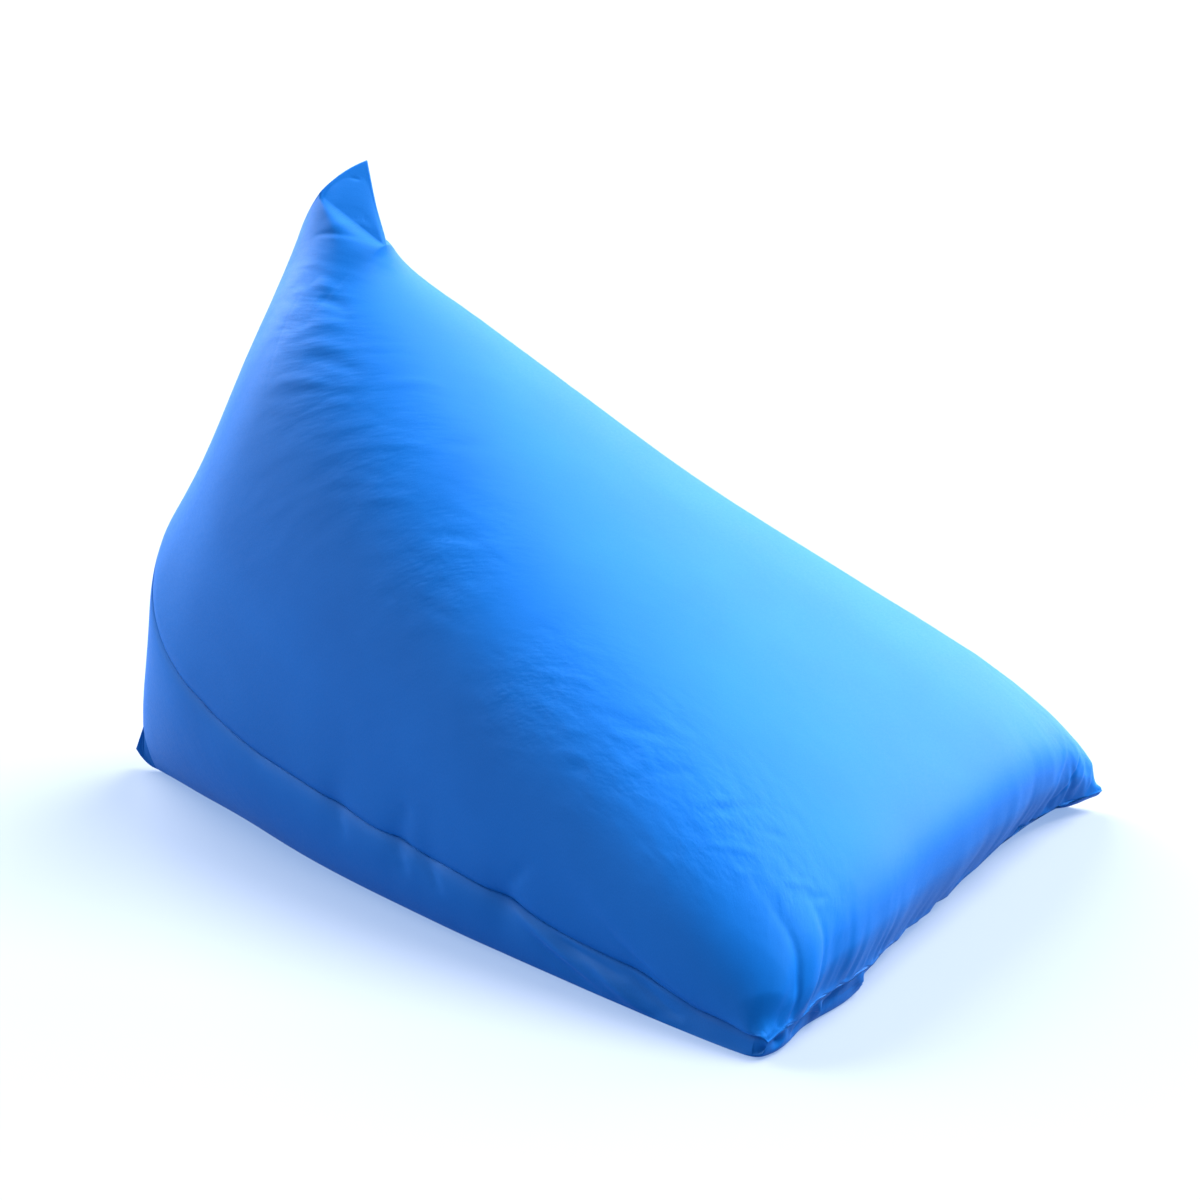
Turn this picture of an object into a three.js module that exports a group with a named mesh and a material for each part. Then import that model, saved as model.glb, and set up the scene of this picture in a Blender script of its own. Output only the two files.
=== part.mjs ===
import * as THREE from "three";
import { mergeVertices } from "three/addons/utils/BufferGeometryUtils.js";

// A floor pouf in the shape of a soft tetrahedron, in millimetres with +Z up. Two cloth panels are
// sewn round three sides like a pillowcase and filled, and the open end is closed crosswise. The
// front seam lies along X at the -Y side, the closing seam stands upright at the back on x = 0, and
// the side seams climb from the front corners to the middle of the closing seam.

const PANEL_GAP = 0.35; // between the two panels, along the whole seam
const FLOOR_BLEND = 8; // height over which the cloth rounds on to the floor

const SEAM_GROOVE = { depth: 6, reach: 13 }; // the V between the panels along the side seams

// The flat ears at both ends of the closing seam: the crease at their base in Y-Z, half their
// thickness, and how fast the filled form swells from that crease. The filled side is to the left
// of from-to.
const APEX_EAR = { from: [264, 752], to: [177, 703], half: 4, swelling: 7.5 };
const FLOOR_EAR = { from: [528, 0], to: [545, 64], half: 4, swelling: 7 };
const EAR_SLOPE = 0.45; // how much half thickness is let go for each mm behind the crease
const EAR_ROUNDING = 10; // how softly the swelling runs into the filled form
const EAR_EDGE = 0.9; // half thickness that an ear keeps right up to its edges

// The apex ear leans over: how far it is moved at a length above its crease, and the height under
// which nothing leans.
const APEX_LEAN = { x: 44, y: 22, z: -8, length: 60, lowest: 640 };

// The two front ears: how far they reach along both seams, the share of that which is flat, the
// length in which they swell, and their thickness as a share of the filled form.
const FRONT_EAR = { alongFront: 30, alongSide: 32, flat: 0.7, swelling: 0.8, thickness: 0.3 };

const BOW_SHAPE = 9.48; // makes a bow of the sections its full depth at three quarters of the way
const FRONT_REACH = 330; // how far back the shape of the front seam dies out
const FRONT_FADE = 1.5; // how soon it starts to die out
const FRONT_RISE = 100; // how fast it dies out with height in the upper panel

// The face between the panels dips from the side seams, to stay inside the back of the pouf: by
// this many half widths, from this share of the length on, growing over the next share.
const INNER_DIP = { depth: 1.3, from: 0.55, growing: 0.25 };

// The mesh: rows from the front seam to the closing seam, drawn towards both ends, and points from
// side seam to side seam. The face between the panels needs them all only near the front seam.
const ROWS = 50;
const ROW_CROWDING = 0.06;
const POINTS_ACROSS = 44;
const INNER_POINTS = 8;
const INNER_FULL_ROWS = 14;

// Cross sections from the front seam to the closing seam. The side seams pass at plus and minus
// halfWidth. The upper panel rises from them to its crest and the lower panel drops to its keel;
// square is the flatness of that arch, round how steeply it leaves the seam, and belly how far the
// side swells past the seam.
const SECTION_COLUMNS = [
  "seamY", "seamZ", "halfWidth", "crestY", "crestZ", "upperSquare", "upperRound", "belly", "upperBow",
  "keelY", "keelZ", "lowerSquare", "lowerRound", "lowerBow",
];
const SECTIONS = [
  [-563, 18, 444, -563, 18, 2.4, 1.3, 0, 0, -563, 18, 2.4, 5, 0],
  [-555, 22, 443, -588, 90, 2.6, 1.6, 14, 0, -548, -30, 3, 5, 0],
  [-525, 20, 436, -571, 162, 2.7, 1.8, 26, 0, -480, -90, 3, 4, 0],
  [-440, 26, 415, -474, 251, 2.55, 2.0, 36, 0, -370, -140, 2.9, 2.8, 0],
  [-280, 54, 371, -323, 348, 2.4, 2.1, 38, 0, -220, -150, 2.3, 2.2, 0],
  [-80, 82, 311, -158, 450, 2.3, 2.2, 42, 5, -30, -110, 2.0, 2.2, 0],
  [120, 108, 244, -14, 550, 2.3, 2.2, 49, 10, 140, -80, 2.0, 2.2, 0],
  [290, 142, 184, 87, 620, 2.3, 2.2, 52, 18, 300, -40, 1.9, 2.2, 0],
  [405, 190, 134, 147, 662, 2.15, 2.2, 52, 25, 420, -25, 1.6, 2.2, 4],
  [465, 250, 90, 170, 688, 2.0, 2.2, 46, 31, 490, -12, 1.5, 2.2, 8],
  [475, 320, 54, 179, 714, 1.7, 2.2, 36, 35, 530, 0, 1.4, 2.2, 10],
  [445, 380, 26, 193, 750, 1.4, 2.2, 18, 37, 552, 12, 1.2, 2.2, 8],
  [400, 425, 0, 208, 800, 1.2, 2.2, 0, 37, 563, 24, 1.0, 2.2, 0],
];

// The front seam between its two corners: at each x how far it is drawn back, lifted and moved
// aside, and how far behind it the lower panel meets the floor.
const FRONT_COLUMNS = ["x", "back", "lift", "aside", "tuck"];
const FRONT_SEAM = [
  [-438, 0, 2, -14, 0],
  [-410, -8, 12, -13, 0],
  [-350, -12, 20, -10, 8],
  [-240, -12, 16, -5, 6],
  [-130, 8, 5, -2, 36],
  [0, 21, -2, 0, 55],
  [150, 32, 0, 0, 70],
  [290, 36, 3, 0, 80],
  [390, 20, 6, 0, 60],
  [438, -2, 4, 3, 0],
];

// Folds that rise from the front seam into the upper panel: where they start, how far they lean
// to the side for each mm of height, their reach, half width, and height (a trough if negative).
const FOLD_COLUMNS = ["x", "lean", "reach", "halfWidth", "height"];
const FRONT_FOLDS = [
  [-425, 0.5, 50, 13, -6],
  [-392, 0.3, 55, 13, 5],
  [-352, 0.2, 60, 15, -4],
  [-305, 0.1, 45, 15, 3],
  [-245, 0.05, 45, 17, -3],
  [-170, 0, 40, 18, 2],
  [-90, -0.05, 40, 20, -2],
  [0, -0.05, 50, 20, 3],
  [85, -0.1, 50, 20, -3],
  [165, -0.15, 60, 18, 3],
  [235, -0.2, 65, 17, -4],
  [295, -0.25, 65, 16, 4],
  [345, -0.3, 60, 15, -4],
  [392, -0.4, 50, 14, 4],
];

function smoothstep(value) {
  const t = Math.min(1, Math.max(0, value));
  return t * t * (3 - 2 * t);
}

// A smooth curve through the values of one column, at a place counted in rows.
function curveThrough(values, place) {
  const last = values.length - 1;
  const i = Math.min(last - 1, Math.max(0, Math.floor(place)));
  const t = place - i;
  const p1 = values[i];
  const p2 = values[i + 1];
  const p0 = i > 0 ? values[i - 1] : 2 * p1 - p2;
  const p3 = i + 2 <= last ? values[i + 2] : 2 * p2 - p1;
  const slope1 = (p2 - p0) / 2;
  const slope2 = (p3 - p1) / 2;
  const t2 = t * t;
  const t3 = t2 * t;
  return (2 * t3 - 3 * t2 + 1) * p1 + (t3 - 2 * t2 + t) * slope1
    + (3 * t2 - 2 * t3) * p2 + (t3 - t2) * slope2;
}

// All columns of the section at v, 0 at the front seam and 1 at the closing seam.
function sectionAt(v) {
  const place = v * (SECTIONS.length - 1);
  const section = {};
  SECTION_COLUMNS.forEach((name, column) => {
    section[name] = curveThrough(SECTIONS.map((row) => row[column]), place);
  });
  section.halfWidth = Math.max(0, section.halfWidth);
  return section;
}

// Unit direction across the seam in the Y-Z plane of a section, from its keel to its crest.
function acrossSeam(section) {
  const alongY = section.crestY - section.keelY;
  const alongZ = section.crestZ - section.keelZ;
  const length = Math.hypot(alongY, alongZ);
  return length > 0 ? { y: alongY / length, z: alongZ / length } : { y: 0, z: 1 };
}

// All columns of the front seam table at x.
function frontSeamAt(x) {
  const last = FRONT_SEAM.length - 1;
  const reached = Math.min(FRONT_SEAM[last][0] - 0.01, Math.max(FRONT_SEAM[0][0] + 0.01, x));
  let i = 0;
  while (FRONT_SEAM[i + 1][0] < reached) i += 1;
  const place = i + (reached - FRONT_SEAM[i][0]) / (FRONT_SEAM[i + 1][0] - FRONT_SEAM[i][0]);
  const found = {};
  FRONT_COLUMNS.forEach((name, column) => {
    found[name] = curveThrough(FRONT_SEAM.map((row) => row[column]), place);
  });
  return found;
}

// The depth of the groove at the seam, shallower where the panel is narrow.
function grooveDepth(x) {
  return Math.min(Math.abs(x) / 4, SEAM_GROOVE.depth);
}

// How far the folds above the front seam push the cloth out, at x and at a height over the seam.
function frontFolds(x, height) {
  let push = 0;
  for (const row of FRONT_FOLDS) {
    const fold = Object.fromEntries(FOLD_COLUMNS.map((name, column) => [name, row[column]]));
    const aside = (x - fold.x - fold.lean * height) / fold.halfWidth;
    const along = height / fold.reach;
    push += fold.height * Math.exp(-aside * aside) * 4 * along * Math.exp(-2 * along);
  }
  return push;
}

// Distance in the Y-Z plane from an ear's crease, positive on the filled side. Past the two ends
// of the crease the distance grows, so that only the ear itself is held flat.
function behindCrease(ear, y, z) {
  const [y1, z1] = ear.from;
  const length = Math.hypot(ear.to[0] - y1, ear.to[1] - z1);
  const alongY = (ear.to[0] - y1) / length;
  const alongZ = (ear.to[1] - z1) / length;
  const side = alongY * (z - z1) - alongZ * (y - y1);
  const along = alongY * (y - y1) + alongZ * (z - z1);
  return side + Math.max(0, along - length) + Math.max(0, -along);
}

// Half the thickness allowed at a distance behind the crease of a flat ear: the filled form swells
// steeply from the crease, and then ever more slowly.
function earLimit(ear, distance) {
  const filled = Math.max(0, distance);
  return ear.half + ear.swelling * Math.sqrt(filled) + EAR_SLOPE * filled;
}

// The lesser of two lengths, rounded where they cross.
function softLesser(a, b) {
  const share = Math.min(1, Math.max(0, 0.5 + (b - a) / (2 * EAR_ROUNDING)));
  return b + (a - b) * share - EAR_ROUNDING * share * (1 - share);
}

// The thinness of the flat front corners: 1 in the filled form, FRONT_EAR.thickness in the ear.
function frontEarFactor(fromCorner, alongSide) {
  const inside = fromCorner / FRONT_EAR.alongFront + alongSide / FRONT_EAR.alongSide;
  const grown = smoothstep((inside - FRONT_EAR.flat) / FRONT_EAR.swelling);
  return FRONT_EAR.thickness + (1 - FRONT_EAR.thickness) * grown;
}

// Lays the cloth on the floor: what would sink below it becomes the flat base.
function onFloor(z) {
  if (z <= -FLOOR_BLEND) return 0;
  if (z >= FLOOR_BLEND) return z;
  return (z + FLOOR_BLEND) ** 2 / (4 * FLOOR_BLEND);
}

// The point of a panel at v along the pouf and u across it, 0 and 1 on the side seams. With flat
// set, the point lies on the straight line between the side seams instead of on the cloth.
function panelPoint(panel, v, u, flat) {
  const section = sectionAt(v);
  const upper = panel === "upper";
  const angle = Math.PI * u;
  const across = -Math.cos(angle);
  const rise = Math.max(0, Math.sin(angle));
  const square = upper || flat ? section.upperSquare : section.lowerSquare;
  const round = upper ? section.upperRound : section.lowerRound;
  const endY = upper ? section.crestY : section.keelY;
  const endZ = upper ? section.crestZ : section.keelZ;
  const width = section.halfWidth;

  const reachAcross = Math.sign(across) * Math.abs(across) ** (2 / square);
  let x = width * reachAcross;
  let share = 0;
  if (!flat) {
    const fromCorner = width - Math.abs(x);
    const alongSide = section.seamY - SECTIONS[0][0];
    share = rise ** (2 / round);
    if (upper || x > 0) share *= frontEarFactor(fromCorner, alongSide);
    if (upper) x += section.belly * 2 * rise * across;
  }
  const runY = endY - section.seamY;
  const runZ = endZ - section.seamZ;
  const run = Math.hypot(runY, runZ);
  const bow = upper ? section.upperBow : -section.lowerBow;
  const bowed = BOW_SHAPE * share ** 3 * (1 - share) * bow / Math.max(1, run);
  let y = section.seamY + runY * share + bowed * runZ;
  let z = section.seamZ + runZ * share - bowed * runY;

  if (!flat) {
    const fromSeam = rise * run;
    x -= Math.sign(x) * grooveDepth(x) * Math.exp(-fromSeam / SEAM_GROOVE.reach);
    const behind = behindCrease(APEX_EAR, y, z);
    const apex = earLimit(APEX_EAR, behind);
    const floor = earLimit(FLOOR_EAR, behindCrease(FLOOR_EAR, y, z));
    const limit = Math.min(apex, floor);
    const least = Math.abs(across) < 1e-9 ? 0 : EAR_EDGE;
    x = v >= 1 ? 0 : Math.sign(x) * Math.max(least, softLesser(Math.abs(x), limit));
    const lean = z > APEX_LEAN.lowest ? Math.max(0, -behind) / APEX_LEAN.length : 0;
    x += APEX_LEAN.x * lean;
    y += APEX_LEAN.y * lean;
    z += APEX_LEAN.z * lean;
  } else {
    x = v >= 1 ? 0 : x - Math.sign(x) * grooveDepth(x);
    y -= INNER_DIP.depth * width * rise * smoothstep((v - INNER_DIP.from) / INNER_DIP.growing);
  }

  // the front seam's own shape, which dies out to the back and upwards
  const nearFront = Math.min(1, Math.max(0, 1 - (y - SECTIONS[0][0]) / FRONT_REACH));
  const above = upper ? Math.max(0, z - section.seamZ) : 0;
  const fade = nearFront ** FRONT_FADE * Math.exp(-above / FRONT_RISE);
  const front = frontSeamAt(x);
  const direction = acrossSeam(section);
  const away = (upper ? PANEL_GAP : -PANEL_GAP) / 2;
  if (upper && !flat) y -= frontFolds(x, above);
  if (!upper && !flat) {
    const drop = Math.min(1, Math.max(0, (section.seamZ - z) / section.seamZ));
    y += front.tuck * fade * drop;
  }
  x += front.aside * fade;
  y += front.back * fade + direction.y * away;
  z += front.lift * fade + direction.z * away;
  return new THREE.Vector3(x, y, onFloor(z));
}

// Fills the strip between two rows of points, which may differ in number, with triangles. Its
// diagonals lean the same way on both sides of the middle.
function addStrip(triangles, rowA, rowB, turned) {
  let i = 0;
  let j = 0;
  while (i < rowA.length - 1 || j < rowB.length - 1) {
    const nextA = (i + 1) / (rowA.length - 1);
    const nextB = (j + 1) / (rowB.length - 1);
    const even = Math.abs(nextA - nextB) < 1e-9;
    const aFirst = even ? nextA > 0.5 : nextA < nextB;
    const stepA = j === rowB.length - 1 || (i < rowA.length - 1 && aFirst);
    const corners = stepA ? [rowA[i], rowA[i + 1], rowB[j]] : [rowA[i], rowB[j + 1], rowB[j]];
    if (turned) corners.reverse();
    triangles.push(corners);
    if (stepA) i += 1;
    else j += 1;
  }
}

function panelGeometry(panel) {
  const rows = [];
  for (let i = 0; i <= ROWS; i += 1) {
    const t = i / ROWS;
    rows.push(t - ROW_CROWDING * Math.sin(2 * Math.PI * t));
  }
  const cloth = rows.map((v) => {
    const row = [];
    for (let j = 0; j <= POINTS_ACROSS; j += 1) row.push(panelPoint(panel, v, j / POINTS_ACROSS, false));
    return row;
  });
  // the face between the panels shares the front seam and the two side seams with the cloth
  const inner = rows.map((v, i) => {
    if (i === 0) return cloth[0];
    const points = i < INNER_FULL_ROWS ? POINTS_ACROSS : INNER_POINTS;
    const row = [cloth[i][0]];
    for (let j = 1; j < points; j += 1) row.push(panelPoint(panel, v, j / points, true));
    row.push(cloth[i][POINTS_ACROSS]);
    return row;
  });
  const triangles = [];
  const upper = panel === "upper";
  for (let i = 0; i < ROWS; i += 1) {
    addStrip(triangles, cloth[i], cloth[i + 1], upper);
    addStrip(triangles, inner[i], inner[i + 1], !upper);
  }
  const positions = [];
  for (const [a, b, c] of triangles) {
    const area = b.clone().sub(a).cross(c.clone().sub(a)).length();
    if (area < 1e-6) continue;
    positions.push(...a.toArray(), ...c.toArray(), ...b.toArray());
  }
  const geometry = new THREE.BufferGeometry();
  geometry.setAttribute("position", new THREE.Float32BufferAttribute(positions, 3));
  const merged = mergeVertices(geometry, 1e-3);
  merged.computeVertexNormals();
  return merged;
}

function panelMesh(name, panel) {
  const material = new THREE.MeshStandardMaterial({ color: 0x2f7fd6, roughness: 0.62, metalness: 0 });
  const mesh = new THREE.Mesh(panelGeometry(panel), material);
  mesh.name = name;
  return mesh;
}

// Puts the middle of the footprint's box at the origin, with the floor at z = 0.
function centreOnFloor(meshes) {
  const box = new THREE.Box3();
  for (const mesh of meshes) box.expandByObject(mesh);
  const middle = box.getCenter(new THREE.Vector3());
  for (const mesh of meshes) mesh.geometry.translate(-middle.x, -middle.y, 0);
}

const panels = [panelMesh("upper_panel", "upper"), panelMesh("lower_panel", "lower")];
centreOnFloor(panels);

const pouf = new THREE.Group();
pouf.name = "tetrahedral_pouf";
pouf.add(...panels);

export default pouf;
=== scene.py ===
import math

import bpy
import numpy as np
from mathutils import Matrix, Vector


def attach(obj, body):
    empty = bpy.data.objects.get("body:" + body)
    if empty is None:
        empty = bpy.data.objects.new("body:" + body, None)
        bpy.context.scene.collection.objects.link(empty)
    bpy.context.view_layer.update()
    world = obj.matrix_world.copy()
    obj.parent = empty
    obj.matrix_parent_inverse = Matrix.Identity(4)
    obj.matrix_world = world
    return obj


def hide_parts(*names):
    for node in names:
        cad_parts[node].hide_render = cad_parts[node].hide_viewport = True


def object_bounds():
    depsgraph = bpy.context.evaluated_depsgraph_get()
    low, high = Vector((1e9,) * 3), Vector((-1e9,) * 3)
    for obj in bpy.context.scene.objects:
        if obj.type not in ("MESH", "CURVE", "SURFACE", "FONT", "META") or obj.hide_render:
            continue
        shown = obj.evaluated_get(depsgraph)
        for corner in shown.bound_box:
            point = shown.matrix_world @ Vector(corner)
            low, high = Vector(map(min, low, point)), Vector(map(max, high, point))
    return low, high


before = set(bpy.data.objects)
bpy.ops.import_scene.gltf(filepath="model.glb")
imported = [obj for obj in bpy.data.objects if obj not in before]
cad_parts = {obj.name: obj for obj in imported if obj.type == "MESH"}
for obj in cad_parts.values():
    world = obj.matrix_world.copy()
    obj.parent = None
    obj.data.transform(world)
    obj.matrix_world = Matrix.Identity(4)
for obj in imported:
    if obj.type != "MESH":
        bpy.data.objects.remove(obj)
cad_low, cad_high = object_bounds()


# Upper panel: one piece of smooth stretch cloth, sewn to the lower panel round three sides and
# filled until it is tight. It is the leaning front face, the upper halves of both sides and the
# flat ear at the top. Its form is a row of arched sections from the front seam to the closing seam.

# In mm: the side seams pass at plus and minus half_width, the upper panel rises from them to its
# crest and the lower panel drops to its keel. Square is the flatness of that arch, round how
# steeply it leaves the seam, belly how far the side swells past the seam, and bow how far the way
# from seam to crest or keel is bent out.
SECTION_COLUMNS = (
    "seam_y", "seam_z", "half_width", "crest_y", "crest_z", "upper_square", "upper_round", "belly",
    "upper_bow", "keel_y", "keel_z", "lower_square", "lower_round", "lower_bow",
)
SECTIONS = (
    (-563, 18, 444, -563, 18, 2.4, 1.3, 0, 0, -563, 18, 2.4, 5, 0),
    (-555, 22, 443, -588, 90, 2.6, 1.6, 14, 0, -548, -30, 3, 5, 0),
    (-525, 20, 436, -571, 162, 2.7, 1.8, 26, 0, -480, -90, 3, 4, 0),
    (-440, 26, 415, -474, 251, 2.55, 2.0, 36, 0, -370, -140, 2.9, 2.8, 0),
    (-280, 54, 371, -323, 348, 2.4, 2.1, 38, 0, -220, -150, 2.3, 2.2, 0),
    (-80, 82, 311, -158, 450, 2.3, 2.2, 42, 5, -30, -110, 2.0, 2.2, 0),
    (120, 108, 244, -14, 550, 2.3, 2.2, 49, 10, 140, -80, 2.0, 2.2, 0),
    (290, 142, 184, 87, 620, 2.3, 2.2, 52, 18, 300, -40, 1.9, 2.2, 0),
    (405, 190, 134, 147, 662, 2.15, 2.2, 52, 25, 420, -25, 1.6, 2.2, 4),
    (465, 250, 90, 170, 688, 2.0, 2.2, 46, 31, 490, -12, 1.5, 2.2, 8),
    (475, 320, 54, 179, 714, 1.7, 2.2, 36, 35, 530, 0, 1.4, 2.2, 10),
    (445, 380, 26, 193, 750, 1.4, 2.2, 18, 37, 552, 12, 1.2, 2.2, 8),
    (400, 425, 0, 208, 800, 1.2, 2.2, 0, 37, 563, 24, 1.0, 2.2, 0),
)

# In mm, at places along the front seam: how far it is drawn back, lifted and moved aside, and how
# far behind it the lower panel meets the floor.
FRONT_COLUMNS = ("x", "back", "lift", "aside", "tuck")
FRONT_SEAM = (
    (-438, 0, 2, -14, 0),
    (-410, -8, 12, -13, 0),
    (-350, -12, 20, -10, 8),
    (-240, -12, 16, -5, 6),
    (-130, 8, 5, -2, 36),
    (0, 21, -2, 0, 55),
    (150, 32, 0, 0, 70),
    (290, 36, 3, 0, 80),
    (390, 20, 6, 0, 60),
    (438, -2, 4, 3, 0),
)

# The shape of the front seam dies out over this way back, this soon, and with this much height.
FRONT_REACH = 330
FRONT_FADE = 1.5
FRONT_RISE = 100

# The gathered stitches make the front seam run in small waves, in mm along it and up from it, which
# die out over the wave reach.
WAVE_COLUMNS = ("length", "height", "shift")
SEAM_WAVES = (
    (87, 1.6, 20),
    (53, 1.7, 4),
    (34, 0.9, 9),
)
WAVE_REACH = 14

# The broad folds that rise from the front seam, in mm, with the lean aside for each mm of height.
FRONT_FOLD_COLUMNS = ("x", "lean", "reach", "half_width", "height")
FRONT_FOLDS = (
    (-425, 0.5, 50, 13, -6),
    (-392, 0.3, 55, 13, 5),
    (-352, 0.2, 60, 15, -4),
    (-305, 0.1, 45, 15, 3),
    (-245, 0.05, 45, 17, -3),
    (-170, 0, 40, 18, 2),
    (-90, -0.05, 40, 20, -2),
    (0, -0.05, 50, 20, 3),
    (85, -0.1, 50, 20, -3),
    (165, -0.15, 60, 18, 3),
    (235, -0.2, 65, 17, -4),
    (295, -0.25, 65, 16, 4),
    (345, -0.3, 60, 15, -4),
    (392, -0.4, 50, 14, 4),
)

# Where the stitches of a side seam draw it in or let it wander: its place along the pouf, the side
# (-1 is the near one), half the length in parts of the seam, and how far inward and up, in mm. The
# cloth follows over the pinch reach.
PINCH_COLUMNS = ("v", "side", "half_length", "inward", "up")
SEAM_PINCHES = (
    (0.620, -1, 0.018, 0.5, 1.5),
    (0.555, -1, 0.016, 0.5, -1.5),
    (0.488, -1, 0.009, 3.0, 1.0),
    (0.462, -1, 0.012, -1.0, -2.0),
    (0.444, -1, 0.007, 3.5, 1.5),
    (0.424, -1, 0.008, 2.5, -2.0),
    (0.373, -1, 0.010, 5.0, 3.0),
    (0.335, -1, 0.020, -1.0, -2.5),
    (0.285, -1, 0.015, 1.5, 2.5),
    (0.235, -1, 0.020, 0.5, -3.0),
    (0.650, 1, 0.016, 1.0, -1.5),
    (0.540, 1, 0.010, 3.0, 1.5),
    (0.470, 1, 0.016, 0.0, -2.0),
    (0.405, 1, 0.009, 4.0, 2.0),
    (0.330, 1, 0.018, -1.0, -2.0),
    (0.260, 1, 0.012, 3.0, 2.5),
    (0.180, 1, 0.014, 1.0, -2.0),
)
PINCH_REACH = 22

# The flat ears in mm: the crease at their base in Y-Z, half their thickness, and how fast the
# filled cloth swells from that crease. The apex ear leans over: how far it is moved at a length
# above its crease, and the height under which nothing leans.
APEX_EAR = {"start": (264, 752), "end": (177, 703), "half": 4, "swelling": 7.5}
FLOOR_EAR = {"start": (528, 0), "end": (545, 64), "half": 4, "swelling": 7}
EAR_SLOPE = 0.45
EAR_ROUNDING = 10
EAR_EDGE = 0.9
APEX_LEAN = {"x": 44, "y": 22, "z": -8, "length": 60, "lowest": 640}

# The ears at the two front corners: their reach along both seams in mm, the share of it that is
# flat, the share over which the cloth swells, and how thick they are against the filled cloth.
FRONT_EAR = {"along_front": 30, "along_side": 32, "flat": 0.5, "swelling": 1.3, "thickness": 0.4}

# In mm: the groove that the seam pulls in, at most a share of the half width, the height over which
# the cloth rounds on to the floor, and the gap between the two panels.
GROOVE_DEPTH = 5
GROOVE_REACH = 6
GROOVE_SHARE = 0.25
FLOOR_BLEND = 8
PANEL_GAP = 0.35

# Makes a bow its full depth at three quarters of the way from seam to crest.
BOW_SHAPE = 9.48

# The hidden face between the panels dips, to stay inside the back of the pouf: by this many half
# widths, from this share of the length on, growing over the next share.
INNER_DIP = {"depth": 1.3, "start": 0.55, "growing": 0.25}


def smoothstep(value):
    t = np.clip(value, 0, 1)
    return t * t * (3 - 2 * t)


def curve_through(values, place):
    """A smooth curve through a table column, at a place counted in rows."""
    before = 2 * values[0] - values[1]
    after = 2 * values[-1] - values[-2]
    values = np.concatenate([[before], values, [after]])
    i = np.clip(np.floor(place).astype(int), 0, len(values) - 4)
    t = place - i
    slope_1 = (values[i + 2] - values[i]) / 2
    slope_2 = (values[i + 3] - values[i + 1]) / 2
    value_1 = (2 * t**3 - 3 * t**2 + 1) * values[i + 1]
    value_2 = (3 * t**2 - 2 * t**3) * values[i + 2]
    return value_1 + (t**3 - 2 * t**2 + t) * slope_1 + value_2 + (t**3 - t**2) * slope_2


def section_at(v):
    """Every column of the section at v, 0 on the front seam and 1 on the closing seam."""
    table = np.array(SECTIONS, float)
    place = v * (len(SECTIONS) - 1)
    found = {}
    for column, name in enumerate(SECTION_COLUMNS):
        found[name] = curve_through(table[:, column], place)
    found["half_width"] = np.maximum(0, found["half_width"])
    return found


def front_seam_at(x):
    """Every column of the front seam's table at x."""
    table = np.array(FRONT_SEAM, float)
    place = np.interp(x, table[:, 0], np.arange(len(table)))
    return {name: curve_through(table[:, column], place) for column, name in enumerate(FRONT_COLUMNS)}


def front_wave(x):
    """How far the waves lift the front seam at x."""
    lift = np.zeros_like(x)
    for row in SEAM_WAVES:
        wave = dict(zip(WAVE_COLUMNS, row))
        lift += wave["height"] * np.sin(2 * np.pi * (x + wave["shift"]) / wave["length"])
    return lift


def front_folds(x, height, rows):
    """How far a table of folds pushes the cloth out, at x and at a height over the front seam."""
    push = np.zeros_like(x)
    for row in rows:
        fold = dict(zip(FRONT_FOLD_COLUMNS, row))
        aside = (x - fold["x"] - fold["lean"] * height) / fold["half_width"]
        along = height / fold["reach"]
        push += fold["height"] * np.exp(-aside * aside) * 4 * along * np.exp(-2 * along)
    return push


def behind_crease(ear, y, z):
    """Distance from an ear's crease to its filled side, growing past both ends of the crease."""
    start = np.array(ear["start"], float)
    along = np.array(ear["end"]) - start
    length = np.hypot(*along)
    along /= length
    side = along[0] * (z - start[1]) - along[1] * (y - start[0])
    way = along[0] * (y - start[0]) + along[1] * (z - start[1])
    return side + np.maximum(0, way - length) + np.maximum(0, -way)


def ear_limit(ear, distance):
    """Half the thickness that the cloth may have at a distance behind an ear's crease."""
    filled = np.maximum(0, distance)
    return ear["half"] + ear["swelling"] * np.sqrt(filled) + EAR_SLOPE * filled


def soft_lesser(a, b):
    """The lesser of two lengths, with the change from one to the other rounded off."""
    share = np.clip(0.5 + (b - a) / (2 * EAR_ROUNDING), 0, 1)
    return b + (a - b) * share - EAR_ROUNDING * share * (1 - share)


def front_ear_factor(from_corner, along_side):
    """Thinness of the two front ears: 1 in the filled cloth and less in the ear."""
    inside = from_corner / FRONT_EAR["along_front"] + along_side / FRONT_EAR["along_side"]
    grown = smoothstep((inside - FRONT_EAR["flat"]) / FRONT_EAR["swelling"])
    return FRONT_EAR["thickness"] + (1 - FRONT_EAR["thickness"]) * grown


def seam_pinch(v, across, name):
    """How far a column of the seam pinches moves the seam at v, on the side that across is on."""
    moved = np.zeros_like(across)
    for row in SEAM_PINCHES:
        pinch = dict(zip(PINCH_COLUMNS, row))
        near = np.exp(-(((v - pinch["v"]) / pinch["half_length"]) ** 2))
        moved += np.where(across * pinch["side"] > 0, pinch[name] * near, 0)
    return moved


def on_floor(z):
    """Lays the cloth on the floor: what would sink below it becomes the flat base."""
    rounded = (np.maximum(z, -FLOOR_BLEND) + FLOOR_BLEND) ** 2 / (4 * FLOOR_BLEND)
    return np.where(z >= FLOOR_BLEND, z, rounded)


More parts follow.
